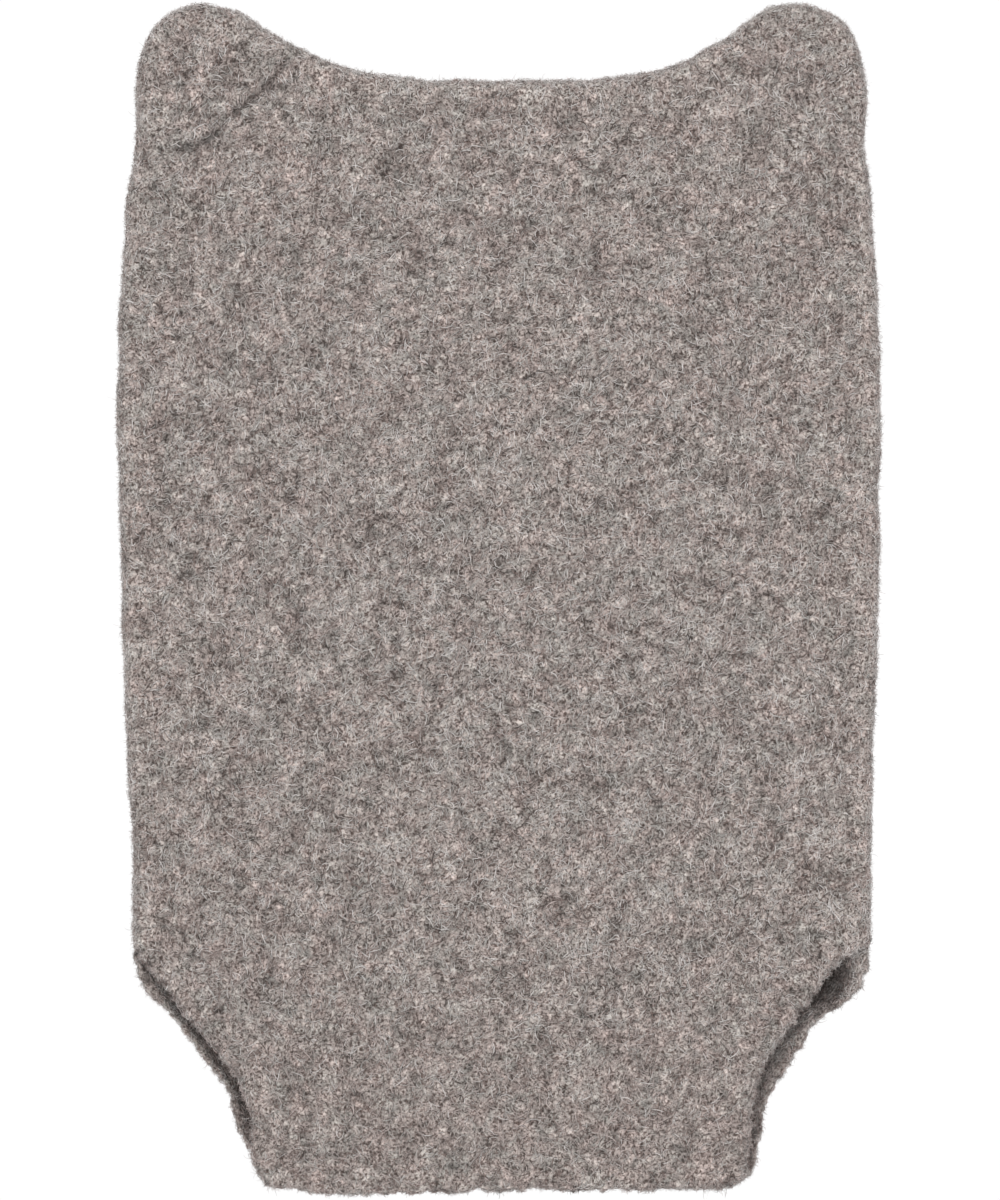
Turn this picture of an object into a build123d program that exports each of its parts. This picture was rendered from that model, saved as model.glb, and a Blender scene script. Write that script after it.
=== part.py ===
"""A felted wool hand puppet with two ears, open at the hem for a hand, with a slot at each side of the mouth.

Front is -Y, up is +Z, and the origin is the middle of the hand opening, at the hem.
The wool cloth is two panels, front and back, that meet on the plane Y = 0 along the sides, the crown and
the ears, and bulge apart between them to make the pocket. Each panel is divided where it bends: the flaps
beside the hand opening fold at the slot tops, the head nods at the waist, and each ear folds at its base.
The strips of cloth that do the bending are nodes of their own, named fold.
"""

import os
from math import atan2, cos, radians, sin, tan

from build123d import *

# Outline of the puppet, seen from the front. Widths are across the whole puppet, heights are from the hem.
body_width = 160.4
body_widest_height = 158.0
crown_height = 234.0
ear_rise = 16.2  # ear tips above the crown
ear_side_inset = 3.3  # ears' outer sides, in from the widest part
ear_tip_radius = 15.0
ear_slope_angle = 30.0  # of the edge that falls from each ear to the crown
crown_hollow_radius = 30.0
hem_width = 104.0
hem_corner_radius = 3.0
neck_width = 114.6  # across the two slots, at their knees
neck_height = 22.0
neck_hollow_radius = 15.0
slot_side_inset = 2.9  # the slots' outer corners, in from the widest part
slot_outer_height = 44.7
slot_outer_radius = 10.0
slot_top_rise = 10.3  # from the slots' outer corners up to where the side seams end
front_slot_step = 3.5  # the front panel's slots are cut this much further in than the back panel's

# Cloth and pocket
wall = 3.2  # thickness of the felted wool
pocket_depth = 24.0  # from front to back inside, at the middle
seam_allowance = 4.0
layer_clearance = 0.1  # each panel stands this far off the plane Y = 0
crown_closing_height = 75.0  # the pocket closes over this height below the crown

# Where the cloth bends
flap_fold_drop = 11.0  # from the ends of the side seams down to the flaps' folds
flap_fold_band = 8.0
waist_height = 142.0
waist_band = 20.0
ear_base_drop = 14.5  # from the crown down to where each ear's base line meets the side
ear_base_reach = 38.9  # of each ear's base line, inwards from the ear's outer side
ear_fold_band = 5.0

# Sewing thread, in stitches that cross from one panel into the other
thread_radius = 0.35
thread_fit = 0.05  # between a stitch and its hole
stitch_depth = 1.4  # into each panel
stitch_pitch = 6.5
stitch_inset = 2.2  # from the cut edge
stitch_margin = 0.9  # least distance of a stitch from a bend
tack_stitches = 4
tack_pitch = 1.3

# Grid that each panel's surface is drawn on
surface_step_across = 4.61
surface_step_up = 6.855
surface_margin = 12.0

# Sizes that follow from those above
body_half = body_width / 2
pocket_half = body_half - seam_allowance
ear_half = body_half - ear_side_inset
slot_half = body_half - slot_side_inset
total_height = crown_height + ear_rise
slot_top_height = slot_outer_height + slot_top_rise
flap_fold_height = slot_top_height - flap_fold_drop
ear_slope = radians(ear_slope_angle)
ear_centre = (ear_half - ear_tip_radius, total_height - ear_tip_radius)
ear_tip_end = (
    ear_centre[0] - ear_tip_radius * sin(ear_slope),
    ear_centre[1] + ear_tip_radius * cos(ear_slope),
)
hollow_half = ear_tip_end[0] - (ear_tip_end[1] - crown_height) / tan(ear_slope)
ear_base_outer_height = crown_height - ear_base_drop
ear_base_inner_half = ear_half - ear_base_reach
ear_base_inner_height = crown_height + (ear_base_inner_half - hollow_half) * tan(ear_slope)
ear_base_slope = atan2(
    ear_base_inner_height - ear_base_outer_height, ear_half - ear_base_inner_half
)
ear_sides = {"left": -1, "right": 1}
panel_sides = {"front": -1, "back": 1}


def smooth_step(t):
    """0 below t = 0, 1 above t = 1, with level ends between."""
    t = min(max(t, 0.0), 1.0)
    return t * t * (3 - 2 * t)


def closing_height(x):
    """Height at which the two panels meet above: the crown in the middle, the ears' base lines outside it."""
    base_line = ear_base_outer_height + (ear_half - abs(x)) * tan(ear_base_slope)
    return min(crown_height, base_line) - seam_allowance


def pocket_half_depth(x, z):
    """Distance of the panels' inner faces from the plane Y = 0."""
    across = max(0.0, 1 - (x / pocket_half) ** 2) ** 1.5
    closing = smooth_step((closing_height(x) - z) / crown_closing_height)
    return layer_clearance + pocket_depth / 2 * across * closing


def beyond_ear_base(x, z):
    """How far a point lies from an ear's base line, towards the ear's tip."""
    outward = abs(x) - ear_half
    return outward * sin(ear_base_slope) + (z - ear_base_outer_height) * cos(ear_base_slope)


def panel_face(side):
    """Inner face of a panel. side is -1 for the front and 1 for the back."""
    reach = body_half + surface_margin
    gaps = 2 * round(reach / surface_step_across)
    columns = [-reach + 2 * reach * i / gaps for i in range(gaps + 1)]
    low = -surface_margin
    high = total_height + surface_margin
    gaps = round((high - low) / surface_step_up)
    rows = [low + (high - low) * j / gaps for j in range(gaps + 1)]
    return Face.make_surface_from_array_of_points(
        [[Vector(x, side * pocket_half_depth(x, z), z) for x in columns] for z in rows]
    )


def free_edge(slot_step):
    """The unsewn edge of half a panel, from the middle of the hem up to the end of the side seam."""
    return FilletPolyline(
        (0, 0),
        (hem_width / 2 - slot_step, 0),
        (neck_width / 2 - slot_step, neck_height),
        (slot_half, slot_outer_height + slot_step),
        (slot_half, slot_top_height),
        radius=[hem_corner_radius, neck_hollow_radius, slot_outer_radius],
    )


def sewn_edge():
    """The sewn edge of half a panel, from the end of the side seam round the ear to the middle of the crown."""
    side = ThreePointArc(
        (slot_half, slot_top_height),
        (body_half, body_widest_height),
        (ear_half, ear_centre[1]),
    )
    tip = RadiusArc(side @ 1, ear_tip_end, -ear_tip_radius)
    return FilletPolyline(
        tip @ 1, (hollow_half, crown_height), (0, crown_height), radius=crown_hollow_radius
    )


def stitch_zone(x, z):
    """Name of the row that a stitch belongs to, or None where it would straddle a bend."""
    beyond = beyond_ear_base(x, z)
    above_waist = z - waist_height
    if abs(abs(beyond) - ear_fold_band / 2) < stitch_margin:
        return None
    if abs(abs(above_waist) - waist_band / 2) < stitch_margin:
        return None
    if abs(beyond) < ear_fold_band / 2:
        return None
    if beyond > 0:
        return "ear_seam"
    if abs(x) < ear_base_inner_half:
        return "crown_seam"
    if above_waist > waist_band / 2:
        return "head_side_seam"
    if above_waist > -waist_band / 2:
        return "waist_side_seam"
    return "torso_side_seam"


def stitch_points():
    """Places of the right half's stitches in each row, as (x, z), evenly spaced along the sewn edge."""
    with BuildLine(Plane.XZ) as edge:
        sewn_edge()
    path = edge.wire().offset_2d(stitch_inset, side=Side.RIGHT, closed=False)
    count = round(path.length / stitch_pitch)
    rows = {}
    for i in range(count):
        place = path @ ((i + 0.5) / count)
        zone = stitch_zone(place.X, place.Z)
        if zone:
            rows.setdefault(zone, []).append((place.X, place.Z))
    tack_start = slot_half - stitch_inset
    rows["slot_tack"] = [
        (tack_start - i * tack_pitch, slot_top_height + stitch_margin)
        for i in range(tack_stitches)
    ]
    return rows


def stitches(points, side, radius, extra, mode=Mode.ADD):
    """Short threads across the seam plane at each point of the right half, or mirrored for side -1."""
    half = max(pocket_half_depth(x, z) for x, z in points) + stitch_depth + extra
    with Locations(*[(side * x, 0, z) for x, z in points]):
        Cylinder(radius, 2 * half, rotation=(90, 0, 0), mode=mode)


def cloth_panel(side, slot_step):
    """One whole panel, cut to the outline. slot_step moves its slots in from the outline of the back panel."""
    with BuildPart() as panel:
        extrude(panel_face(side), amount=wall, dir=(0, side, 0))
        with BuildSketch(Plane.XZ):
            with BuildLine():
                free_edge(slot_step)
                sewn_edge()
                mirror(about=Plane.YZ)
            make_face()
        extrude(amount=body_width, both=True, mode=Mode.INTERSECT)
    return panel.part


def ear_plane(side, offset):
    """Plane along an ear's base line, moved by offset towards the ear's tip. side is -1 for the left ear."""
    return Plane(
        origin=(
            side * (ear_half + offset * sin(ear_base_slope)),
            0,
            ear_base_outer_height + offset * cos(ear_base_slope),
        ),
        x_dir=(0, 1, 0),
        z_dir=(side * sin(ear_base_slope), 0, cos(ear_base_slope)),
    )


def cut_piece(panel, below, above, rows, sides=(-1, 1)):
    """A panel's cloth below and above the given planes, with the holes of its rows of stitches."""
    with BuildPart() as piece:
        add(panel)
        for plane in below:
            split(bisect_by=plane, keep=Keep.BOTTOM)
        for plane in above:
            split(bisect_by=plane, keep=Keep.TOP)
        for row_name in rows:
            for side in sides:
                stitches(
                    stitch_rows[row_name], side, thread_radius + thread_fit, thread_fit, Mode.SUBTRACT
                )
    return piece.part


def write(part, name):
    part.label = name
    export_step(part, f"parts/{name}.step")


os.makedirs("parts", exist_ok=True)

stitch_rows = stitch_points()
panels = {
    "front": cloth_panel(panel_sides["front"], front_slot_step),
    "back": cloth_panel(panel_sides["back"], 0),
}

flap_top = Plane.XY.offset(flap_fold_height - flap_fold_band / 2)
torso_bottom = Plane.XY.offset(flap_fold_height + flap_fold_band / 2)
torso_top = Plane.XY.offset(waist_height - waist_band / 2)
head_bottom = Plane.XY.offset(waist_height + waist_band / 2)
head_tops = [ear_plane(side, -ear_fold_band / 2) for side in ear_sides.values()]

for panel_name, panel in panels.items():
    write(cut_piece(panel, [flap_top], [], []), f"{panel_name}_flap")
    write(cut_piece(panel, [torso_bottom], [flap_top], []), f"{panel_name}_flap_fold")
    write(
        cut_piece(panel, [torso_top], [torso_bottom], ["torso_side_seam", "slot_tack"]),
        f"torso_{panel_name}",
    )
    write(
        cut_piece(panel, [head_bottom], [torso_top], ["waist_side_seam"]),
        f"{panel_name}_waist_fold",
    )
    write(
        cut_piece(panel, head_tops, [head_bottom], ["head_side_seam", "crown_seam"]),
        f"head_{panel_name}",
    )
    for ear_name, side in ear_sides.items():
        ear_start = ear_plane(side, -ear_fold_band / 2)
        ear_end = ear_plane(side, ear_fold_band / 2)
        write(
            cut_piece(panel, [ear_end], [ear_start], []),
            f"{ear_name}_ear_fold_{panel_name}",
        )
        write(
            cut_piece(panel, [], [ear_end], ["ear_seam"], [side]),
            f"{ear_name}_ear_{panel_name}",
        )

for row_name, points in stitch_rows.items():
    if row_name == "crown_seam":
        with BuildPart() as crown_seam:
            for side in ear_sides.values():
                stitches(points, side, thread_radius, 0)
        write(crown_seam.part, row_name)
        continue
    for side_name, side in ear_sides.items():
        with BuildPart() as row:
            stitches(points, side, thread_radius, 0)
        write(row.part, f"{side_name}_{row_name}")
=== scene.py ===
"""Felted wool hand puppet: two heather wool panels, sewn edges, raw slots and hem, and a brushed nap.

Lengths in this file are in millimetres until a mesh is made. The floor and the lights are placed in metres.
Every mesh is in the row frame, in metres: front is -Y, up is +Z, and the origin is the middle of the hand
opening, at the hem.
"""

import math

import bpy
import numpy as np
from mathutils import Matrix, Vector
from mathutils.bvhtree import BVHTree
from mathutils.geometry import delaunay_2d_cdt


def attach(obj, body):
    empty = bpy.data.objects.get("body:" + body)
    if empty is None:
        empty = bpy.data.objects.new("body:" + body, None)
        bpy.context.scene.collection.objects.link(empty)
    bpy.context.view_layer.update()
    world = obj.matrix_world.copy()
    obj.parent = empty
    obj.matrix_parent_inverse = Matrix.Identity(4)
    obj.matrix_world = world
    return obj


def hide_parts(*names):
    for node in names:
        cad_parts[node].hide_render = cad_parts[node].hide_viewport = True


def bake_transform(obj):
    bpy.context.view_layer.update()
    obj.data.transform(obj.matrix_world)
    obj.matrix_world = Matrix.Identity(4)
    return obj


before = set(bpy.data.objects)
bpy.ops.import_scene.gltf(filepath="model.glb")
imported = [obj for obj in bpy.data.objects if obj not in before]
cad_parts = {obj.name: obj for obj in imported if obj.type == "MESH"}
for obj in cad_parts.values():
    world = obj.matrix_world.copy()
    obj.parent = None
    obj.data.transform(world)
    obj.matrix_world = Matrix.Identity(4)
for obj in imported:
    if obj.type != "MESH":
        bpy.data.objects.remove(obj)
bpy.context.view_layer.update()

MM = 0.001

# ---------------------------------------------------------------- sizes

THICK = 3.2  # the felt
POCKET_HALF = 76.2  # half-width of the pocket
POCKET_DEPTH = 12.0  # from the middle plane to either panel's inside
CROWN = 234.0
CLOSING = 75.0  # the pocket closes over this height below the crown
SEAM_ALLOWANCE = 4.0
LAYER_GAP = 0.1
SPLIT_Z = 90.0  # the panels' upper and lower pieces meet here
EAR_BASE = {-1: ((-76.9, 219.5), (-38.0, 238.7)), 1: ((76.9, 219.5), (38.0, 238.7))}
EAR_SPLIT = -5.0  # the ear pieces start this far below the base line
GRID = 1.25  # spacing of the cloth's points
GRID_JITTER = 0.22
OUTLINE_STEP = {"sewn": 0.8, "raw": 0.6}
RINGS = (0.22, 0.55, 1.0, 1.6, 2.4, 3.4)  # distances of the extra rows of points from an edge

# Sewn edge, from the top of the left slot round both ears to the top of the right slot.
SEWN = [
    (-77.0, 56.0), (-77.3, 72.0), (-78.4, 95.0), (-79.7, 133.0), (-80.3, 171.0), (-79.3, 196.0),
    (-78.0, 212.0), (-76.5, 221.0), (-76.4, 233.0), (-74.9, 241.0), (-70.6, 247.3), (-63.0, 250.1),
    (-56.0, 248.9), (-49.6, 244.9), (-44.4, 241.9), (-38.3, 238.9), (-31.0, 236.2), (-21.0, 234.6),
    (0.0, 233.9), (22.0, 234.4), (34.0, 236.3), (42.0, 239.6), (47.0, 242.2), (52.0, 246.3),
    (57.5, 249.2), (64.0, 250.0), (71.0, 247.4), (75.4, 241.5), (77.1, 233.0), (77.0, 221.0),
    (78.3, 207.0), (80.0, 183.0), (80.1, 158.0), (79.7, 120.0), (78.8, 95.0), (78.2, 70.0), (78.0, 56.0),
]  # fmt: skip
# Raw edges of each panel, from the top of the right slot down, along the hem, and up to the left slot's top.
RAW = {
    "back": [
        (78.0, 56.0), (78.0, 51.5), (77.6, 47.6), (76.4, 44.6), (74.4, 41.7), (71.5, 38.5), (67.0, 35.0),
        (63.3, 30.7), (60.2, 25.9), (57.7, 21.6), (56.2, 17.6), (55.2, 13.0), (54.4, 8.0), (53.3, 3.9),
        (50.4, 1.2), (45.0, 0.4), (12.0, 0.5), (-12.0, 0.1), (-34.0, -0.4), (-43.0, 0.3), (-48.4, 1.0),
        (-51.2, 3.8), (-53.4, 9.0), (-55.2, 14.0), (-56.6, 19.4), (-59.4, 24.2), (-62.8, 28.4), (-65.4, 32.4),
        (-70.0, 37.5), (-74.4, 42.0), (-76.4, 47.8), (-77.0, 56.0),
    ],
    "front": [
        (78.0, 56.0), (77.9, 53.4), (77.0, 51.2), (74.6, 50.1), (72.3, 48.9), (70.4, 47.0), (67.4, 43.4),
        (64.4, 39.3), (61.3, 35.3), (58.4, 31.7), (55.5, 26.8), (53.6, 21.6), (52.8, 16.0), (52.4, 10.8),
        (52.0, 5.6), (50.8, 2.2), (46.0, 0.8), (38.0, 0.7), (12.0, 0.8), (-12.0, 0.4), (-34.0, -0.3),
        (-43.0, 0.5), (-48.2, 1.5), (-50.7, 4.6), (-51.5, 9.0), (-52.0, 15.8), (-54.0, 21.2), (-57.1, 26.3),
        (-61.3, 31.4), (-65.8, 37.4), (-70.0, 42.6), (-73.0, 45.8), (-75.3, 48.4), (-76.6, 51.6), (-77.0, 56.0),
    ],
}  # fmt: skip
# The crease where each ear has been folded, from its outer side to the top edge: x, z and its depth there.
CREASE = {
    -1: [
        (-78.0, 219.3, 0.2), (-70.7, 219.6, 0.6), (-65.0, 219.7, 1.1), (-60.4, 222.5, 1.2),
        (-56.8, 226.6, 0.7), (-52.0, 230.3, 1.4), (-49.4, 232.4, 1.4), (-46.5, 236.4, 0.9),
        (-43.8, 240.6, 1.2), (-43.0, 244.0, 0.3),
    ],
    1: [
        (78.0, 217.0, 0.3), (68.0, 220.2, 0.3), (58.0, 225.6, 0.2), (49.0, 231.6, 0.3),
        (39.0, 239.6, 0.2),
    ],
}  # fmt: skip
SLOT_RIDGE = [(75.0, 60.5), (74.2, 55.5), (73.4, 52.0), (71.6, 48.6)]  # a pinch above the right slot


# ---------------------------------------------------------------- curves and fields


def smooth_line(points, step):
    """Points at equal steps along a smooth open line through the given ones."""
    p = np.array(points, float)
    ends = np.vstack([2 * p[0] - p[1], p, 2 * p[-1] - p[-2]])
    gap = np.sqrt(np.linalg.norm(np.diff(ends, axis=0), axis=1))
    line = []
    for i in range(len(p) - 1):
        a, b, c, d = ends[i : i + 4]
        g0, g1, g2 = gap[i : i + 3]
        m1 = g1 * ((b - a) / g0 - (c - a) / (g0 + g1) + (c - b) / g1)
        m2 = g1 * ((c - b) / g1 - (d - b) / (g1 + g2) + (d - c) / g2)
        t = np.linspace(0, 1, 24, endpoint=False)[:, None]
        line.append(
            (2 * t**3 - 3 * t**2 + 1) * b
            + (t**3 - 2 * t**2 + t) * m1
            + (3 * t**2 - 2 * t**3) * c
            + (t**3 - t**2) * m2
        )
    line = np.vstack(line + [p[-1:]])
    along = np.concatenate([[0], np.cumsum(np.linalg.norm(np.diff(line, axis=0), axis=1))])
    count = max(2, round(along[-1] / step))
    at = np.linspace(0, along[-1], count + 1)
    return np.column_stack([np.interp(at, along, line[:, k]) for k in (0, 1)])


def waves(seed, shortest, longest, count=48):
    """A smooth random field over a plane or in space, with those wavelengths and a deviation of about 1."""
    draw = np.random.default_rng(seed)
    length = np.exp(draw.uniform(math.log(shortest), math.log(longest), count))
    way = draw.normal(size=(3, count))
    flat = draw.uniform(0, 2 * math.pi, count)
    way /= np.linalg.norm(way, axis=0)
    phase = draw.uniform(0, 2 * math.pi, count)

    def field(p):
        turn = np.vstack([np.cos(flat), np.sin(flat)]) if p.shape[1] == 2 else way
        out = np.zeros(len(p))
        for low in range(0, len(p), 20000):
            part = p[low : low + 20000]
            out[low : low + 20000] = np.sin(part @ (turn * 2 * math.pi / length) + phase).sum(1)
        return out * math.sqrt(2 / count)

    return field


def smooth_step(t):
    t = np.clip(t, 0, 1)
    return t * t * (3 - 2 * t)


def ear_directions(side):
    """Unit vectors along an ear's base line, and across it towards the ear's tip."""
    (x0, z0), (x1, z1) = EAR_BASE[side]
    run = np.array([x1 - x0, z1 - z0]) / math.hypot(x1 - x0, z1 - z0)
    return run, np.array([-run[1], run[0]]) * (1 if run[0] > 0 else -1)


def beyond_ear_base(p, side):
    """How far points lie from an ear's base line, towards its tip."""
    return (p - EAR_BASE[side][0]) @ ear_directions(side)[1]


def nearest(p, line):
    """Distance to, and index of, the nearest point of a line."""
    far = np.empty(len(p))
    which = np.empty(len(p), int)
    for low in range(0, len(p), 4000):
        part = p[low : low + 4000]
        d = (part[:, :1] - line[:, 0]) ** 2 + (part[:, 1:] - line[:, 1]) ** 2
        which[low : low + 4000] = d.argmin(1)
        far[low : low + 4000] = np.sqrt(d.min(1))
    return far, which


def bump(p, x, z, wide, tall=None):
    return np.exp(-((p[:, 0] - x) ** 2) / (2 * wide**2) - (p[:, 1] - z) ** 2 / (2 * (tall or wide) ** 2))


# Random fields of the cloth: its sag, its lumps, its grain, and the wander of its edges
sag = waves(11, 34, 80, 12)
lumps = waves(12, 9, 24, 40)
grains = waves(13, 2.6, 6, 60)
edge_slow = {"front": waves(14, 7, 22, 24), "back": waves(15, 7, 22, 24)}
edge_fast = {"front": waves(16, 1.4, 5, 40), "back": waves(17, 1.4, 5, 40)}
crease_lines, crease_depths = {}, {}
for side, points in CREASE.items():
    points = np.array(points)
    line = smooth_line(points[:, :2], 0.5)
    crease_lines[side] = line
    crease_depths[side] = np.interp(np.arange(len(line)), nearest(points[:, :2], line)[1], points[:, 2])
slot_ridge = smooth_line(SLOT_RIDGE, 0.5)
sewn_line = smooth_line(SEWN, 1.5)
SIDE = {"front": -1, "back": 1}


def slot_hollow(p):
    """The hollow beside the top of the right slot, where the back panel stands off the front one."""
    return bump(p, 67.2, 40.4, 3.1) + bump(p, 70.8, 45.6, 3.1)


def inner_depth(p, panel):
    """Distance of a panel's inner face from the middle plane, Y = 0."""
    x = np.abs(p[:, 0])
    (x0, z0), (x1, z1) = EAR_BASE[1]
    base = z0 + (x0 - x) * (z1 - z0) / (x0 - x1)
    close = smooth_step((np.minimum(CROWN, base) - SEAM_ALLOWANCE - p[:, 1]) / CLOSING)
    across = np.maximum(0, 1 - (x / POCKET_HALF) ** 2) ** 1.5
    depth = LAYER_GAP + POCKET_DEPTH * across * close
    free = np.clip(depth / 6, 0, 1)  # it sags only where the panels stand apart
    depth = depth + 0.45 * free * sag(p + (0 if panel == "front" else 400))
    # beside the slots the panels stand a little further apart
    if panel == "front":
        depth += 1.6 * bump(p, 64.5, 42.0, 7.2) + 0.7 * bump(p, -63.0, 38.0, 7.0)
    else:
        depth += 3.6 * slot_hollow(p)
        depth += 1.8 * bump(p, -68.0, 43.0, 3.8) + 1.2 * bump(p, -62.5, 36.0, 4.2)
    return depth


def creases(p, wide):
    """Depth of the ears' creases at each point, fading over that width, and the swelling beside them."""
    deep, swell = np.zeros(len(p)), np.zeros(len(p))
    for side, line in crease_lines.items():
        near = np.flatnonzero(beyond_ear_base(p, side) > -16)
        if len(near):
            far, which = nearest(p[near], line)
            far = far + 0.22 * grains(p[near] + 90)
            deep[near] += crease_depths[side][which] * np.exp(-((far / wide) ** 2))
            swell[near] += crease_depths[side][which] * np.exp(-(((far - 2.8) / 2.2) ** 2))
    return deep, swell


def thickness(p, panel):
    """Thickness of the felt, with its lumps and the ears' creases."""
    shift = 0 if panel == "front" else 300
    deep, swell = creases(p, 0.75)
    t = THICK + 0.16 * lumps(p + shift) + 0.07 * grains(p + shift) - 1.35 * deep + 0.3 * swell
    if panel == "back":
        t -= 1.7 * slot_hollow(p)
    else:
        near = np.flatnonzero((p[:, 1] > 40) & (p[:, 1] < 66) & (p[:, 0] > 62))
        far, _ = nearest(p[near], slot_ridge)
        t[near] += 0.55 * np.exp(-((far / 1.1) ** 2))
    return t


# ---------------------------------------------------------------- the cloth


def outline(panel):
    """The panel's closed outline, and how far each of its points is sewn: 1 sewn, 0 raw."""
    sewn = smooth_line(SEWN, OUTLINE_STEP["sewn"])[:-1]
    raw = smooth_line(RAW[panel], OUTLINE_STEP["raw"])[:-1]
    line = np.vstack([sewn, raw])
    ends = np.array([SEWN[0], SEWN[-1]])
    away = np.minimum(*(np.linalg.norm(line - e, axis=1) for e in ends))
    is_raw = np.arange(len(line)) >= len(sewn)
    sewing = smooth_step(0.5 + np.where(is_raw, -away, away) / 8)
    ahead = np.roll(line, -1, 0) - np.roll(line, 1, 0)
    out = np.column_stack([-ahead[:, 1], ahead[:, 0]])
    out /= np.linalg.norm(out, axis=1)[:, None]
    slow, fast = edge_slow[panel](line), edge_fast[panel](line)
    same = edge_slow["front"](line)  # sewn edges run together
    sewn_push = 0.14 * same + 0.05 * edge_fast["front"](line)
    raw_push = 0.2 * slow + 0.19 * fast
    push = sewing * sewn_push + (1 - sewing) * raw_push
    return line + out * push[:, None], out, sewing


def inside(p, line):
    """Whether each point is inside a closed line."""
    x, z = p[:, 0], p[:, 1]
    hit = np.zeros(len(p), bool)
    nxt = np.roll(line, -1, 0)
    for (x0, z0), (x1, z1) in zip(line, nxt):
        if z0 == z1:
            continue
        crosses = (z0 > z) != (z1 > z)
        hit ^= crosses & (x < (x1 - x0) * (z - z0) / (z1 - z0) + x0)
    return hit


def region_of(p):
    """0 lower, 1 upper, 2 left ear, 3 right ear."""
    where = np.where(p[:, 1] < SPLIT_Z, 0, 1)
    where[beyond_ear_base(p, -1) > EAR_SPLIT] = 2
    where[(beyond_ear_base(p, 1) > EAR_SPLIT) & (p[:, 0] > 0)] = 3
    return where


def cut_line(panel_line, a, b):
    """Points across the panel from a to b, inside its outline."""
    count = round(math.dist(a, b) / GRID)
    t = np.linspace(0, 1, count + 1)[:, None]
    line = np.array(a) * (1 - t) + np.array(b) * t
    keep = inside(line, panel_line)
    far, _ = nearest(line, panel_line)
    return line[keep & (far > 0.35)]


def flat_panel(panel):
    """The panel's flat mesh: its points, its triangles, and each point's nearest edge.

    Of that edge it gives the distance, how far it is sewn, and its outward direction.
    """
    line, out, sewing = outline(panel)
    points = [line]
    edges = [(i, (i + 1) % len(line)) for i in range(len(line))]
    total = len(line)
    cuts = [((-90, SPLIT_Z), (90, SPLIT_Z))]
    for side in (-1, 1):
        start, end = (np.array(place) for place in EAR_BASE[side])
        run, up = ear_directions(side)
        up = up * EAR_SPLIT
        cuts.append((start + up - 12 * run, end + up + 14 * run))
    fixed = []
    for a, b in cuts:
        cut = cut_line(line, a, b)
        # each end of the cut joins the outline's nearest point
        first, last = (nearest(end[None], line)[1][0] for end in (cut[0], cut[-1]))
        ids = [first] + list(range(total, total + len(cut))) + [last]
        edges += list(zip(ids[:-1], ids[1:]))
        points.append(cut)
        fixed.append(cut)
        total += len(cut)
    fixed = np.vstack(fixed)
    rings = []
    for d in RINGS:
        ring = (line - out * d)[:: 1 if d < 1.2 else 2]
        far, _ = nearest(ring, line)
        rings.append(ring[far > 0.9 * d])
    columns = np.arange(-84, 84, GRID)
    rows = np.arange(-4, 254, GRID * math.sqrt(3) / 2)
    grid = np.vstack([
        np.column_stack([columns + GRID / 2 * (i % 2), np.full(len(columns), z)])
        for i, z in enumerate(rows)
    ])  # fmt: skip
    grid = grid + np.random.default_rng(21).uniform(-GRID_JITTER, GRID_JITTER, grid.shape)
    grid = grid[inside(grid, line)]
    far, _ = nearest(grid, line)
    grid = grid[far > RINGS[-1] + 0.55 * GRID]
    folds = []
    for crease in crease_lines.values():
        ahead = np.gradient(crease, axis=0)
        across = np.column_stack([-ahead[:, 1], ahead[:, 0]]) / np.linalg.norm(ahead, axis=1)[:, None]
        folds += [crease + across * d for d in (-1.9, -1.2, -0.6, 0, 0.6, 1.2, 1.9)]
        far, _ = nearest(grid, crease)
        grid = grid[far > 2.5]
    folds = np.vstack(folds)
    folds = folds[inside(folds, line)]
    far, _ = nearest(folds, line)
    folds = folds[far > RINGS[-1]]
    loose = np.vstack(rings + [folds, grid])
    near_cut, _ = nearest(loose, fixed)
    loose = loose[(near_cut > 0.5) & inside(loose, line)]
    points = np.vstack(points + [loose])
    verts, _, faces, _, _, _ = delaunay_2d_cdt([Vector(p) for p in points.tolist()], edges, [], 1, 1e-6)
    verts = np.array([tuple(v) for v in verts])
    faces = np.array(faces)
    far, which = nearest(verts, line)
    return verts, faces, far, sewing[which], out[which]


def edge_drop(far, radius):
    """How far a face falls back within radius of a rounded edge."""
    inward = np.clip(1 - far / radius, 0, 1)
    return radius * (1 - np.sqrt(1 - inward**2))


def new_mesh(name, verts, faces, sizes=None):
    """A mesh object from arrays, in metres. faces is (n, 3), or a flat list with the sizes."""
    mesh = bpy.data.meshes.new(name)
    flat = np.ascontiguousarray(faces, dtype=np.int32).ravel()
    if sizes is None:
        sizes = np.full(len(flat) // 3, 3, dtype=np.int32)
    starts = np.concatenate([[0], np.cumsum(sizes)[:-1]]).astype(np.int32)
    mesh.vertices.add(len(verts))
    mesh.vertices.foreach_set("co", (np.asarray(verts) * MM).astype(np.float32).ravel())
    mesh.loops.add(len(flat))
    mesh.loops.foreach_set("vertex_index", flat)
    mesh.polygons.add(len(sizes))
    mesh.polygons.foreach_set("loop_start", starts)
    mesh.polygons.foreach_set("loop_total", np.asarray(sizes, dtype=np.int32))
    mesh.update(calc_edges=True)
    mesh.validate()
    obj = bpy.data.objects.new(name, mesh)
    bpy.context.scene.collection.objects.link(obj)
    return obj


def keep_rest(obj):
    """Stores where each point lies at rest, which the materials read."""
    mesh = obj.data
    rest = np.empty(len(mesh.vertices) * 3, dtype=np.float32)
    mesh.vertices.foreach_get("co", rest)
    mesh.attributes.new("rest", "FLOAT_VECTOR", "POINT").data.foreach_set("vector", rest)


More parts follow.
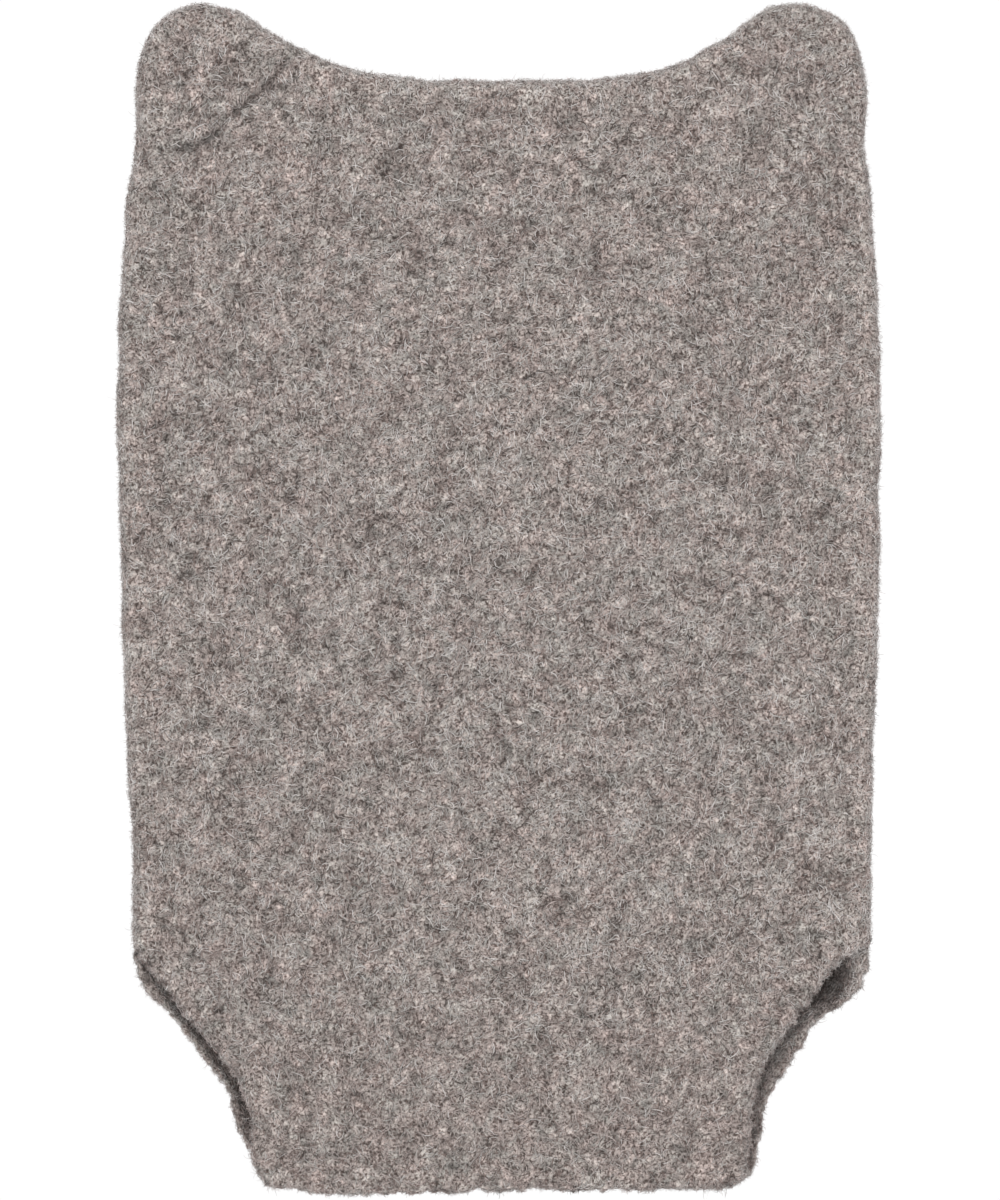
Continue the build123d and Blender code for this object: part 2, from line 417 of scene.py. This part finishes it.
def sharpen(obj, pairs):
    """Marks the edges between these pairs of points as sharp, so that a cut in the cloth doesn't shade."""
    mesh = obj.data
    ends = np.empty(len(mesh.edges) * 2, dtype=np.int32)
    mesh.edges.foreach_get("vertices", ends)
    code = np.sort(ends.reshape(-1, 2), axis=1) @ [1 << 20, 1]
    wanted = np.sort(pairs, axis=1) @ [1 << 20, 1]
    mesh.attributes.new("sharp_edge", "BOOLEAN", "EDGE").data.foreach_set("value", np.isin(code, wanted))


def cloth_region(panel, flat, region):
    """One closed piece of a panel: its outer and inner faces and the edge between them.

    Gives its points, its triangles, the count of outer triangles, which triangles are on a cut inside the
    cloth, the flat points' distances from the panel's edge, and the pairs of points along the cut.
    """
    verts, faces, far, sewing, out = flat
    own = faces[region_of(verts[faces].mean(1)) == region]
    used, faces = np.unique(own, return_inverse=True)
    faces = faces.reshape(-1, 3)
    p, far, sewing, out = verts[used], far[used], sewing[used], out[used]
    side = SIDE[panel]
    deep = inner_depth(p, panel)
    if panel == "back":
        # the lip that shows past the front panel's slot curls forwards
        gap, _ = nearest(p, front_line)
        gap[inside(p, front_line)] = 0
        right = p[:, 0] > 0
        high = smooth_step((p[:, 1] - 44) / 4)
        curl = np.where(right, 2.8, 2.4)
        wide = np.where(right, 3.8, 3.0)
        past = smooth_step((gap - 0.4 * (1 - high)) / (2.2 - 0.8 * high))
        deep -= curl * past * np.exp(-((far / wide) ** 2))
    thick = thickness(p, panel)
    round_out = sewing * 2.75 + (1 - sewing) * 1.25
    if panel == "front":
        slot_tops = bump(p, 75.5, 51.0, 3.4) + bump(p, -75.6, 49.6, 3.4)
        round_out = np.maximum(round_out, 2.9 * np.minimum(1, slot_tops))
    round_in = sewing * 0.4 + (1 - sewing) * 1.1
    outer = deep + thick - edge_drop(far, round_out)
    inner = deep + edge_drop(far, round_in)
    n = len(p)
    # boundary edges, in the order that the triangles give them
    pairs = np.vstack([faces[:, [0, 1]], faces[:, [1, 2]], faces[:, [2, 0]]])
    key = {tuple(e) for e in pairs.tolist()}
    rim = np.array([e for e in key if (e[1], e[0]) not in key])
    rim_points = np.unique(rim)
    spot = np.full(n, -1)
    spot[rim_points] = np.arange(len(rim_points))
    on_edge = (far[rim_points] < 1e-3) * (1 - sewing[rim_points])
    rough = 0.1 * edge_fast[panel](p[rim_points] * 1.7) + 0.1
    middle = p[rim_points] + out[rim_points] * (on_edge * rough)[:, None]
    middle_y = (outer[rim_points] + inner[rim_points]) / 2
    xyz = np.vstack([
        np.column_stack([p[:, 0], side * outer, p[:, 1]]),
        np.column_stack([p[:, 0], side * inner, p[:, 1]]),
        np.column_stack([middle[:, 0], side * middle_y, middle[:, 1]]),
    ])  # fmt: skip
    a, b = rim[:, 0], rim[:, 1]
    ma, mb = 2 * n + spot[a], 2 * n + spot[b]
    quads = np.vstack([
        np.column_stack([b, a, ma]), np.column_stack([b, ma, mb]),
        np.column_stack([mb, ma, a + n]), np.column_stack([mb, a + n, b + n]),
    ])  # fmt: skip
    tris = np.vstack([faces, faces[:, ::-1] + n, quads])
    # a triangle's own turn decides which way the outer faces look
    e1 = xyz[faces[0, 1]] - xyz[faces[0, 0]]
    e2 = xyz[faces[0, 2]] - xyz[faces[0, 0]]
    if np.cross(e1, e2)[1] * side < 0:
        tris = tris[:, ::-1]
    on_cut = far[rim_points] > 1e-3
    cut_rim = on_cut[spot[a]] | on_cut[spot[b]]
    shut = rim[cut_rim]
    on_cut_face = np.concatenate([np.zeros(2 * len(faces), bool), np.tile(cut_rim, 4)])
    return xyz, tris, len(faces), on_cut_face, far, np.vstack([shut, shut + n])


# ---------------------------------------------------------------- materials


def wool_material(name, dark, light, warm, cool):
    """Heather wool seen between the fibres: speckled at several sizes, with warm and cool patches. It is darker
    than the fibres, partly as painted shade in the gaps between them.
    """
    mat = bpy.data.materials.new(name)
    mat.use_nodes = True
    nodes, links = mat.node_tree.nodes, mat.node_tree.links
    shader = nodes["Principled BSDF"]
    rest = nodes.new("ShaderNodeAttribute")
    rest.attribute_name = "rest"

    def noise(size_mm, detail, rough, shift):
        move = nodes.new("ShaderNodeVectorMath")
        move.operation = "ADD"
        move.inputs[1].default_value = shift
        links.new(rest.outputs["Vector"], move.inputs[0])
        tex = nodes.new("ShaderNodeTexNoise")
        tex.inputs["Scale"].default_value = 1000 / size_mm
        tex.inputs["Detail"].default_value = detail
        tex.inputs["Roughness"].default_value = rough
        tex.inputs["Distortion"].default_value = 0.6
        links.new(move.outputs[0], tex.inputs["Vector"])
        return tex.outputs["Fac"]

    def mix(kind, fac, a, b):
        node = nodes.new("ShaderNodeMix")
        node.data_type = "RGBA"
        node.blend_type = kind
        for socket, value in ((node.inputs[0], fac), (node.inputs[6], a), (node.inputs[7], b)):
            if isinstance(value, bpy.types.NodeSocket):
                links.new(value, socket)
            else:
                socket.default_value = value
        return node.outputs[2]

    def ramp(fac, stops):
        node = nodes.new("ShaderNodeValToRGB")
        node.color_ramp.elements.remove(node.color_ramp.elements[1])
        for i, (at, colour) in enumerate(stops):
            stop = node.color_ramp.elements[0] if i == 0 else node.color_ramp.elements.new(at)
            stop.position = at
            stop.color = (*colour, 1)
        links.new(fac, node.inputs["Fac"])
        return node.outputs["Color"]

    fine = noise(0.55, 3, 0.6, (0, 0, 0))
    middle = noise(2.2, 3, 0.6, (3.1, 0.4, 1.7))
    patch = noise(11, 2, 0.5, (0.3, 2.2, 5.1))
    tint = noise(4.5, 3, 0.6, (7.7, 3.3, 0.9))
    # the tone attribute brings tone_at's painted shade and painted light into the cloth's colour
    tone = nodes.new("ShaderNodeAttribute")
    tone.attribute_name = "tone"
    base = ramp(fine, [(0.38, dark), (0.63, light)])
    base = mix("OVERLAY", 0.8, base, ramp(tone.outputs["Fac"], [(0.0, (0.18,) * 3), (1.0, (0.82,) * 3)]))
    base = mix("OVERLAY", 0.55, base, ramp(middle, [(0.3, (0.3,) * 3), (0.7, (0.7,) * 3)]))
    base = mix("OVERLAY", 0.35, base, ramp(patch, [(0.35, (0.38,) * 3), (0.65, (0.62,) * 3)]))
    base = mix("MULTIPLY", 1.0, base, ramp(tint, [(0.35, cool), (0.65, warm)]))
    links.new(base, shader.inputs["Base Color"])
    bump_node = nodes.new("ShaderNodeBump")
    bump_node.inputs["Strength"].default_value = 0.8
    bump_node.inputs["Distance"].default_value = 0.0003
    links.new(fine, bump_node.inputs["Height"])
    links.new(bump_node.outputs["Normal"], shader.inputs["Normal"])
    shader.inputs["Roughness"].default_value = 0.95
    shader.inputs["Specular IOR Level"].default_value = 0.15
    shader.inputs["Sheen Weight"].default_value = 0.25
    shader.inputs["Sheen Roughness"].default_value = 0.6
    return mat


def fibre_material(name, colour):
    mat = bpy.data.materials.new(name)
    mat.use_nodes = True
    shader = mat.node_tree.nodes["Principled BSDF"]
    shader.inputs["Base Color"].default_value = (*colour, 1)
    shader.inputs["Roughness"].default_value = 0.75
    shader.inputs["Specular IOR Level"].default_value = 0.2
    shader.inputs["Sheen Weight"].default_value = 0.15
    shader.inputs["Sheen Roughness"].default_value = 0.5
    return mat


# the ground under the fibres: its speckle is the wool's own, its darker level partly painted shade between the
# fibres
wool = wool_material(
    "heather_wool_gap_shade", (0.058, 0.041, 0.035), (0.45, 0.405, 0.384), (1.05, 0.97, 0.95), (0.96, 1.0, 0.98)
)
SHADES = [
    ("wool_dark", (0.060, 0.042, 0.036), 0.11, 0.5),
    ("wool_brown", (0.210, 0.152, 0.135), 0.17, 0.75),
    ("wool_mid", (0.385, 0.337, 0.319), 0.26, 0.9),
    ("wool_cool", (0.450, 0.432, 0.412), 0.19, 1.0),
    ("wool_rose", (0.530, 0.450, 0.428), 0.12, 1.1),
    ("wool_light", (0.685, 0.650, 0.634), 0.16, 1.25),
]
fibre_materials = [fibre_material(name, colour) for name, colour, share, stand in SHADES]
thread_material = fibre_material("sewing_thread", (0.20, 0.172, 0.16))


# ---------------------------------------------------------------- fibres


def tubes(lines, radii, sides=3):
    """Closed tapered tubes along lines of points, (n, k, 3), with radii at the inner points, (n, k - 2)."""
    n, k, _ = lines.shape
    ahead = lines[:, 2:] - lines[:, :-2]
    ahead /= np.linalg.norm(ahead, axis=2)[:, :, None] + 1e-9
    across = np.cross(ahead, np.array([0.31, 0.17, 0.93]))
    across /= np.linalg.norm(across, axis=2)[:, :, None] + 1e-9
    third = np.cross(ahead, across)
    turn = np.arange(sides) * 2 * math.pi / sides
    ring = (
        lines[:, 1:-1, None]
        + (across[:, :, None] * np.cos(turn)[:, None] + third[:, :, None] * np.sin(turn)[:, None])
        * radii[:, :, None, None]
    )
    per = 2 + (k - 2) * sides
    verts = np.concatenate([lines[:, :1], ring.reshape(n, -1, 3), lines[:, -1:]], axis=1)
    faces = []
    for s in range(sides):
        t = (s + 1) % sides
        faces.append((0, 1 + t, 1 + s))
        for r in range(k - 3):
            low, high = 1 + r * sides, 1 + (r + 1) * sides
            faces += [(low + s, low + t, high + t), (low + s, high + t, high + s)]
        last = 1 + (k - 3) * sides
        faces.append((last + s, last + t, per - 1))
    faces = np.array(faces)
    all_faces = (faces[None] + (np.arange(n) * per)[:, None, None]).reshape(-1, 3)
    return verts.reshape(-1, 3), all_faces, len(faces)


def spread(xyz, tris, weight, count, draw):
    """Random places on triangles, in proportion to their area and weight: place, normal and triangle."""
    a, b, c = (xyz[tris[:, i]] for i in range(3))
    cross = np.cross(b - a, c - a)
    area = np.linalg.norm(cross, axis=1)
    share = area * weight
    pick = draw.choice(len(tris), count, p=share / share.sum())
    u, v = draw.random(count), draw.random(count)
    flip = u + v > 1
    u[flip], v[flip] = 1 - u[flip], 1 - v[flip]
    place = a[pick] + (b - a)[pick] * u[:, None] + (c - a)[pick] * v[:, None]
    normal = cross[pick] / (area[pick][:, None] + 1e-12)
    return place, normal, pick


shade_slow = waves(31, 5, 22, 40)
shade_fast = waves(32, 1.2, 4.6, 90)
tint_field = waves(33, 4, 18, 40)
hem_streaks = waves(34, 2.5, 8, 40)


def painted_slot_shadow(place):
    """Painted shadow: how much darker the fibres are drawn inside the hollow beside the top of the right slot,
    where the pocket lies in shade.
    """
    p = place[:, [0, 2]]
    inward = (place[:, 1] > 0) & (place[:, 1] < 12)
    return inward * 6.0 * (bump(p, 67.4, 40.6, 1.8) + bump(p, 69.2, 43.2, 1.8) + bump(p, 71.0, 46.0, 1.7))


def tone_at(place):
    """How light the wool is drawn: random patches, 0 on average and about 1 either way, with painted shade in
    the ears' creases and the right slot's hollow, and painted light at the right slot's top and on the left
    slot's lip.
    """
    p = place[:, [0, 2]]
    flat = p + np.where(place[:, 1:2] > 0, 500, 0)
    tone = 0.85 * shade_fast(flat) + 0.4 * shade_slow(flat)
    # the tone varies less and is lighter near the sewn edges, and the wool is streaked upwards from the hem
    far, _ = nearest(p, sewn_line)
    tone = (1 - 0.35 * np.exp(-((far / 3.0) ** 2))) * tone + 0.55 * np.exp(-((far / 3.4) ** 2))
    tone += 0.4 * smooth_step((24 - p[:, 1]) / 16) * hem_streaks(flat * [1.0, 0.3])
    # painted shade: the fibres are drawn darker in the ears' creases, where shade falls
    tone -= creases(p, 0.75)[0] * (1.8 + 0.5 * shade_fast(flat))
    # painted light: the fibres at the top of the right slot are drawn lighter, to soften the shadow line
    # between the panels there
    tone += 1.6 * bump(p, 75.8, 51.2, 1.7)
    # painted light: the back panel's lip at the left slot is drawn lighter where the front panel shades it
    left_lip_painted_light = (place[:, 1] > 0) & (place[:, 0] < -50) & (place[:, 2] < 52)
    tone += 1.5 * left_lip_painted_light * np.exp(-((nearest(p, back_line)[0] / 4.0) ** 2))
    # painted shadow: the fibres in the right slot's hollow are drawn darker
    return tone - painted_slot_shadow(place)


def shades_at(place, draw, lighter=0.0):
    """Which shade each fibre has: random, drawn towards dark, light, warm or cool by patches and by the painted
    shade and painted light of tone_at.
    """
    flat = place[:, [0, 2]] + np.where(place[:, 1:2] > 0, 500, 0)
    tone = tone_at(place) + lighter
    middle = np.exp(-(((place[:, 0] - 12) / 60) ** 2) - ((place[:, 2] - 115) / 75) ** 2)
    low = smooth_step((62 - place[:, 2]) / 50)
    tone *= 1 - 0.3 * low
    warmth = tint_field(flat) + 0.55 - 1.1 * middle + 1.0 * low
    lean = np.array([-1.0, -0.5, -0.05, 0.2, 0.3, 1.0])
    heat = np.array([0.1, 0.8, 0.0, -0.9, 0.9, -0.2])
    share = np.array([s for _, _, s, _ in SHADES])
    calm = (0.1 + 0.5 * low[:, None]) * np.array([-0.7, 0.3, 0.7, 0.3, 0.7, -1.1])
    odds = share * np.exp(1.25 * tone[:, None] * lean + 0.6 * warmth[:, None] * heat + calm)
    odds = np.cumsum(odds / odds.sum(1)[:, None], axis=1)
    return (draw.random(len(place))[:, None] > odds).sum(1).clip(0, len(SHADES) - 1)


BRUSHED_WAY = math.radians(62)  # of the fibres that lie with the brushing, above the horizontal
BRUSHED_SHARE = 0.28


def grow(place, normal, draw, long, wide, lift, stand, tree=None):
    """Curved fibres that lie along the cloth at the places, or on the faces of a tree if it is given."""
    points = FIBRE_POINTS
    n = len(place)
    length = long[0] + (long[1] - long[0]) * draw.random(n) ** 1.5
    helper = np.where(np.abs(normal[:, 1:2]) > 0.6, [[1.0, 0, 0]], [[0, 1.0, 0]])
    e1 = np.cross(normal, helper)
    e1 = np.cross(e1, normal)
    e1 /= np.linalg.norm(e1, axis=1)[:, None] + 1e-9
    e2 = np.cross(normal, e1)
    angle = draw.uniform(0, 2 * math.pi, n)
    brushed = draw.random(n) < BRUSHED_SHARE
    some = brushed.sum()
    angle[brushed] = BRUSHED_WAY + draw.normal(0, 0.45, some) + math.pi * (draw.random(some) < 0.5)
    curl = draw.normal(0, 0.95, n)
    high = (lift[0] + (lift[1] - lift[0]) * draw.random(n) ** 2.2) * stand
    steps = np.linspace(0, 1, points)
    line = np.empty((n, points, 3))
    here = place - (e1 * np.cos(angle)[:, None] + e2 * np.sin(angle)[:, None]) * (length / 2)[:, None]
    for i, s in enumerate(steps):
        if i:
            way = angle + curl * (s - 0.5) * 2
            ahead = e1 * np.cos(way)[:, None] + e2 * np.sin(way)[:, None]
            here = here + ahead * (length / (points - 1))[:, None]
        line[:, i] = here
    rise = -0.12 + (high + 0.12)[:, None] * np.sin(np.pi * (0.12 + 0.8 * steps))[None] ** 0.8
    rise += draw.normal(0, 0.05, rise.shape)
    if tree is None:
        line += normal[:, None] * rise[:, :, None]
    else:
        for i in range(n):
            for j in range(points):
                spot, turn, _, _ = tree.find_nearest(line[i, j])
                line[i, j] = np.array(spot) + np.array(turn) * rise[i, j]
    width = wide[0] + (wide[1] - wide[0]) * draw.random(n)
    taper = np.sin(np.pi * steps[1:-1]) ** 0.35
    return line, width[:, None] * taper


def stray(place, normal, draw):
    """Short thin fibres that stand off the cloth, and a few long ones, most of all at the hem's corners."""
    n = len(place)
    corner = (np.abs(place[:, 0]) > 44) & (place[:, 2] < 7)
    odds = np.where(corner, 0.03, 0.003)
    long = np.where(draw.random(n) < odds, draw.uniform(2.0, 3.6, n), 0.5 + 1.2 * draw.random(n) ** 1.8)
    way = normal * draw.uniform(0.35, 1.0, (n, 1)) + draw.normal(0, 0.55, (n, 3))
    way /= np.linalg.norm(way, axis=1)[:, None]
    turn = draw.normal(0, 0.5, (n, 3))
    line = np.empty((n, 5, 3))
    here = place - normal * 0.15
    for i in range(5):
        line[:, i] = here
        step = way + turn * (i - 0.5)
        step /= np.linalg.norm(step, axis=1)[:, None]
        here = here + step * (long / 4)[:, None]
    width = draw.uniform(0.03, 0.055, n)
    return line, width[:, None] * np.array([[1.0, 0.9, 0.7]])


def fibre_piece(name, lines, radii, shade):
    verts, faces, each = tubes(lines, radii)
    obj = new_mesh(name, verts, faces)
    for mat in fibre_materials:
        obj.data.materials.append(mat)
    obj.data.polygons.foreach_set("material_index", np.repeat(shade, each).astype(np.int32))
    return obj


# ---------------------------------------------------------------- build the puppet

REGION = {0: "lower", 1: "upper", 2: "left_ear", 3: "right_ear"}
STANDS_FOR = {
    ("front", 0): ["front_flap", "front_flap_fold", "torso_front"],
    ("back", 0): ["back_flap", "back_flap_fold", "torso_back"],
    ("front", 1): ["front_waist_fold", "head_front"],
    ("back", 1): ["back_waist_fold", "head_back"],
    ("front", 2): ["left_ear_fold_front", "left_ear_front"],
    ("back", 2): ["left_ear_fold_back", "left_ear_back"],
    ("front", 3): ["right_ear_fold_front", "right_ear_front"],
    ("back", 3): ["right_ear_fold_back", "right_ear_back"],
}


def bend_with(obj, region):
    """Bakes a piece's placement into its mesh, the same way for every region."""
    if region == 0:
        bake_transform(obj)
    elif region == 1:
        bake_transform(obj)
    else:
        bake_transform(obj)


NAP_PER_MM2 = 1.9
INSIDE_SHARE = 0.22  # of that, on the inner faces
INSIDE_EDGE = 12.0  # the inner faces have the whole nap this close to an edge
FUZZ_PER_MM2 = 8.0
FUZZ_EDGE = 0.9  # fuzz grows this close to an edge
# the fuzz is drawn lighter: partly the loose fibres' own colour, partly a painted highlight where the rounded
# edges catch the light
FUZZ_LIGHT_AND_HIGHLIGHT = 0.8
CLOSE_EDGE = 5.0  # fibres this close to an edge are laid on the cloth point by point
FIBRE_RADIUS = (0.045, 0.085)
FIBRE_POINTS = 5
PIECE_FIBRES = 11000

front_line, back_line = outline("front")[0], outline("back")[0]

for panel in SIDE:
    flat = flat_panel(panel)
    for region, region_name in REGION.items():
        xyz, tris, outer_count, cut_rim, far, creased = cloth_region(panel, flat, region)
        name = f"{panel}_{region_name}_felt"
        cloth = new_mesh(name, xyz, tris)
        cloth.data.materials.append(wool)
        cloth.data.polygons.foreach_set("use_smooth", np.ones(len(cloth.data.polygons), bool))
        sharpen(cloth, creased)
        keep_rest(cloth)
        # the tone carries tone_at's random patches, its painted shade in the creases and the slot hollow, and
        # its painted light beside the slots
        tone = np.clip(0.5 + tone_at(xyz) / 4, 0, 1).astype(np.float32)
        cloth.data.attributes.new("tone", "FLOAT", "POINT").data.foreach_set("value", tone)
        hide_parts(*STANDS_FOR[panel, region])

        # nap
        draw = np.random.default_rng(100 + 10 * region + (panel == "back"))
        edge_near = np.concatenate([far, far, np.zeros(len(xyz) - 2 * len(far))])[tris].min(1)
        weight = np.ones(len(tris))
        inner = slice(outer_count, 2 * outer_count)
        weight[inner] = np.where(edge_near[inner] < INSIDE_EDGE, 1.0, INSIDE_SHARE)
        weight[cut_rim] = 0
        middles = xyz[tris].mean(1)
        # the nap is denser where the tone is higher, leaving out the painted shadow in the slot hollow
        tufted = tone_at(middles) + painted_slot_shadow(middles)
        weight *= np.exp(0.3 * tufted - 0.9 * creases(middles[:, [0, 2]], 0.7)[0])
        a, b, c = (xyz[tris[:, i]] for i in range(3))
        areas = np.linalg.norm(np.cross(b - a, c - a), axis=1) / 2
        count = int((areas * weight).sum() * NAP_PER_MM2)
        place, normal, pick = spread(xyz, tris, weight, count, draw)
        near = edge_near[pick] < CLOSE_EDGE
        tree = BVHTree.FromPolygons(xyz.tolist(), tris[~cut_rim].tolist())
        shade = shades_at(place, draw)
        stand = np.array([s for _, _, _, s in SHADES])[shade]
        lines = np.empty((count, FIBRE_POINTS, 3))
        radii = np.empty((count, FIBRE_POINTS - 2))
        lines[~near], radii[~near] = grow(
            place[~near], normal[~near], draw, (1.2, 4.2), FIBRE_RADIUS, (0.05, 0.7), stand[~near]
        )
        lines[near], radii[near] = grow(
            place[near], normal[near], draw, (1.0, 3.2), FIBRE_RADIUS, (0.05, 0.6), stand[near], tree
        )
        # fuzz that stands off the edges
        rim_weight = np.where((edge_near < FUZZ_EDGE) & ~cut_rim, 1.0, 0)
        fuzz_count = int((areas * rim_weight).sum() * FUZZ_PER_MM2)
        fuzz_place, fuzz_normal, _ = spread(xyz, tris, rim_weight, fuzz_count, draw)
        fuzz_lines, fuzz_radii = stray(fuzz_place, fuzz_normal, draw)
        # the fuzz's lighter shades are partly a painted highlight
        fuzz_shade = shades_at(fuzz_place, draw, lighter=FUZZ_LIGHT_AND_HIGHLIGHT)
        lines, radii = np.concatenate([lines, fuzz_lines]), np.concatenate([radii, fuzz_radii])
        shade = np.concatenate([shade, fuzz_shade])
        order = draw.permutation(len(lines))
        parts = max(1, math.ceil(len(lines) / PIECE_FIBRES))
        naps = []
        for i in range(parts):
            some = order[i::parts]
            nap = fibre_piece(f"{panel}_{region_name}_nap_{i + 1}", lines[some], radii[some], shade[some])
            naps.append(nap)
        for obj in [cloth] + naps:
            bend_with(obj, region)
        corners = flat[0][flat[1]]
        tri = corners[region_of(corners.mean(1)) == region]


# ---------------------------------------------------------------- sewing

STITCH = 3.4
THREAD_RADIUS = 0.24
THREAD_POINTS = 7


def thread_piece(name, places, outs, nodes):
    """Stitches that cross the groove between the panels, at places on the seam plane."""
    turn = np.linspace(-1.35, 1.35, THREAD_POINTS)
    sunk, reach = 0.95, 1.25
    lines = np.empty((len(places), THREAD_POINTS, 3))
    for i, t in enumerate(turn):
        at = places + outs * (sunk * math.cos(t) - sunk - 0.12)
        lines[:, i] = np.column_stack([at[:, 0], np.full(len(at), reach * math.sin(t)), at[:, 1]])
    radii = np.full((len(places), THREAD_POINTS - 2), THREAD_RADIUS)
    verts, faces, _ = tubes(lines, radii, sides=6)
    obj = new_mesh(name, verts, faces)
    obj.data.materials.append(thread_material)
    obj.data.polygons.foreach_set("use_smooth", np.ones(len(obj.data.polygons), bool))
    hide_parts(*nodes)
    return obj


seam = smooth_line(SEWN, STITCH)
ahead = np.gradient(seam, axis=0)
seam_out = np.column_stack([-ahead[:, 1], ahead[:, 0]])
seam_out /= np.linalg.norm(seam_out, axis=1)[:, None]
seam = seam + seam_out * (0.16 * edge_slow["front"](seam))[:, None]
for side, side_name in ((-1, "left"), (1, "right")):
    mine = seam[:, 0] * side > 0
    in_ear = mine & (beyond_ear_base(seam, side) > EAR_SPLIT)
    along = mine & ~in_ear & (np.abs(seam[:, 0]) > 60)
    obj = thread_piece(
        f"{side_name}_side_thread", seam[along], seam_out[along],
        [f"{side_name}_{part}_side_seam" for part in ("torso", "waist", "head")],
    )  # fmt: skip
    bend_with(obj, 1)
    obj = thread_piece(
        f"{side_name}_ear_thread", seam[in_ear], seam_out[in_ear], [f"{side_name}_ear_seam"]
    )
    bend_with(obj, 2 if side < 0 else 3)
    seam_end = SEWN[0 if side < 0 else -1][0]
    top = np.array([[seam_end - side * d, 55.6 + 0.3 * d] for d in (0.3, 1.1, 1.9, 2.7)])
    obj = thread_piece(
        f"{side_name}_tack_thread",
        top,
        np.tile([0.25 * side, -0.97], (len(top), 1)),
        [f"{side_name}_slot_tack"],
    )
    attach(obj, "torso")
crown = np.abs(seam[:, 0]) < 60
for side in (-1, 1):
    crown &= beyond_ear_base(seam, side) <= EAR_SPLIT
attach(thread_piece("crown_thread", seam[crown], seam_out[crown], ["crown_seam"]), "head")

# ---------------------------------------------------------------- stage, light and camera

FLOOR_Z = -0.3
FLOOR_RADIUS = 3.0
PALE = 0.86
bpy.ops.mesh.primitive_circle_add(
    vertices=96, radius=FLOOR_RADIUS, fill_type="NGON", location=(0, 0, FLOOR_Z)
)
floor = bpy.context.object
floor.name = "floor"
floor_mat = bpy.data.materials.new("pale_floor")
floor_mat.use_nodes = True
floor_shader = floor_mat.node_tree.nodes["Principled BSDF"]
floor_shader.inputs["Base Color"].default_value = (PALE, PALE, PALE, 1)
floor_shader.inputs["Roughness"].default_value = 0.9
floor.data.materials.append(floor_mat)

SKY_LIGHT = 0.625
SKY_SEEN = 1.02  # the backdrop, which only the camera sees
world = bpy.data.worlds.new("studio")
bpy.context.scene.world = world
world.use_nodes = True
sky = world.node_tree
back = sky.nodes["Background"]
back.inputs["Color"].default_value = (1, 1, 1, 1)
back.inputs["Strength"].default_value = SKY_LIGHT
shown = sky.nodes.new("ShaderNodeBackground")
shown.inputs["Color"].default_value = (1, 1, 1, 1)
shown.inputs["Strength"].default_value = SKY_SEEN
path = sky.nodes.new("ShaderNodeLightPath")
pick_sky = sky.nodes.new("ShaderNodeMixShader")
sky.links.new(path.outputs["Is Camera Ray"], pick_sky.inputs[0])
sky.links.new(back.outputs[0], pick_sky.inputs[1])
sky.links.new(shown.outputs[0], pick_sky.inputs[2])
sky.links.new(pick_sky.outputs[0], sky.nodes["World Output"].inputs["Surface"])


def softbox(name, place, size, power):
    """A square soft light that looks at the middle of the puppet."""
    lamp = bpy.data.lights.new(name, "AREA")
    lamp.shape = "SQUARE"
    lamp.size = size
    lamp.energy = power
    obj = bpy.data.objects.new(name, lamp)
    obj.location = place
    obj.rotation_euler = (Vector((0, 0, 0.12)) - Vector(place)).to_track_quat("-Z", "Y").to_euler()
    bpy.context.scene.collection.objects.link(obj)


softbox("key", (0.7, -2.3, 1.3), 1.4, 40)
softbox("fill", (-1.4, -1.8, 0.6), 1.6, 11)
softbox("back_light", (0.7, 2.2, 1.4), 1.6, 34)
softbox("back_fill", (-1.2, 1.9, 0.4), 1.6, 26)

VIEW_HEIGHT = 253.3  # of the whole frame, at the puppet, in millimetres
DISTANCE = 2200.0
SENSOR = 36.0
EYE_LEVEL = 124.5
cam_data = bpy.data.cameras.new("camera")
cam_data.sensor_fit = "VERTICAL"
cam_data.sensor_height = SENSOR
cam_data.lens = SENSOR * DISTANCE / VIEW_HEIGHT
cam_data.clip_end = 20
cam = bpy.data.objects.new("camera", cam_data)
cam.location = (0.2 * MM, -DISTANCE * MM, EYE_LEVEL * MM)
cam.rotation_euler = (math.pi / 2, 0, 0)
bpy.context.scene.collection.objects.link(cam)
bpy.context.scene.camera = cam
bpy.context.scene.view_settings.view_transform = "Standard"
